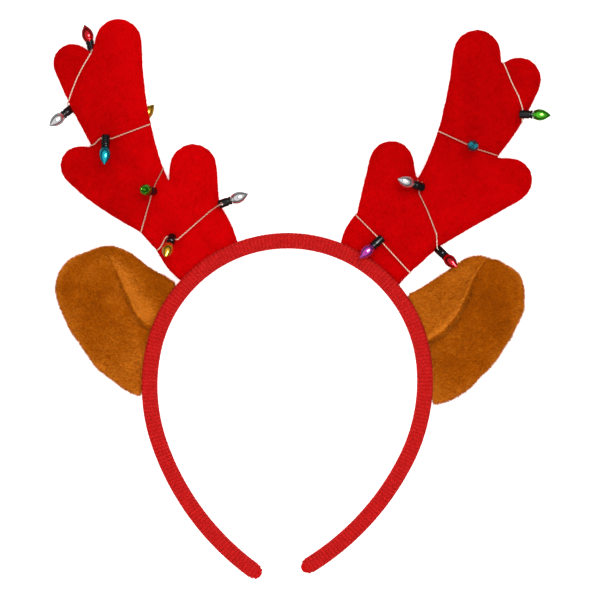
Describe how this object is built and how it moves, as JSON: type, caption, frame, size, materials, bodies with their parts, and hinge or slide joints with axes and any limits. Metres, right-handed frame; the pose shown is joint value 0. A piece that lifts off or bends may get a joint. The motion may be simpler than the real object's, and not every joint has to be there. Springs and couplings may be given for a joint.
{
  "type": "reindeer antler headband",
  "caption": "Open knit-covered headband hoop with felt reindeer antlers, plush ears and a cord of small coloured lamps wound round each antler, for festive wear.",
  "frame": {"origin": "crown of the hoop, on the surface that the headband lies on, under the middle of the sleeve", "axes": "+Y up from the hoop to the antler tips, +Z out of the front, +X to the right as seen from the front"},
  "size_m": [0.2151, 0.2402, 0.0242],
  "materials": {
    "knit_red": "fine knitted tube, matt",
    "felt_red": "needled felt, matt",
    "plush_brown": "short plush pile",
    "cord_gold": "twisted metallic yarn",
    "socket_black": "gloss",
    "bulb_red": "metallic coat",
    "bulb_silver": "metallic coat",
    "bulb_gold": "metallic coat",
    "bulb_teal": "metallic coat",
    "bulb_green": "metallic coat",
    "bulb_magenta": "metallic coat"
  },
  "bodies": {
    "root": {"band": "knit_red", "antler_left": "felt_red", "antler_right": "felt_red", "ear_left": "plush_brown", "ear_right": "plush_brown", "cord_left": "cord_gold", "cord_right": "cord_gold", "socket_left_1": "socket_black", "socket_left_2": "socket_black", "socket_left_3": "socket_black", "socket_left_4": "socket_black", "socket_left_5": "socket_black", "socket_left_6": "socket_black", "socket_left_7": "socket_black", "socket_right_1": "socket_black", "socket_right_2": "socket_black", "socket_right_3": "socket_black", "socket_right_4": "socket_black", "socket_right_5": "socket_black", "bulb_left_1": "bulb_red", "bulb_left_2": "bulb_silver", "bulb_left_3": "bulb_gold", "bulb_left_4": "bulb_teal", "bulb_left_5": "bulb_green", "bulb_left_6": "bulb_silver", "bulb_left_7": "bulb_gold", "bulb_right_1": "bulb_green", "bulb_right_2": "bulb_teal", "bulb_right_3": "bulb_silver", "bulb_right_4": "bulb_red", "bulb_right_5": "bulb_magenta"}
  },
  "joints": []
}
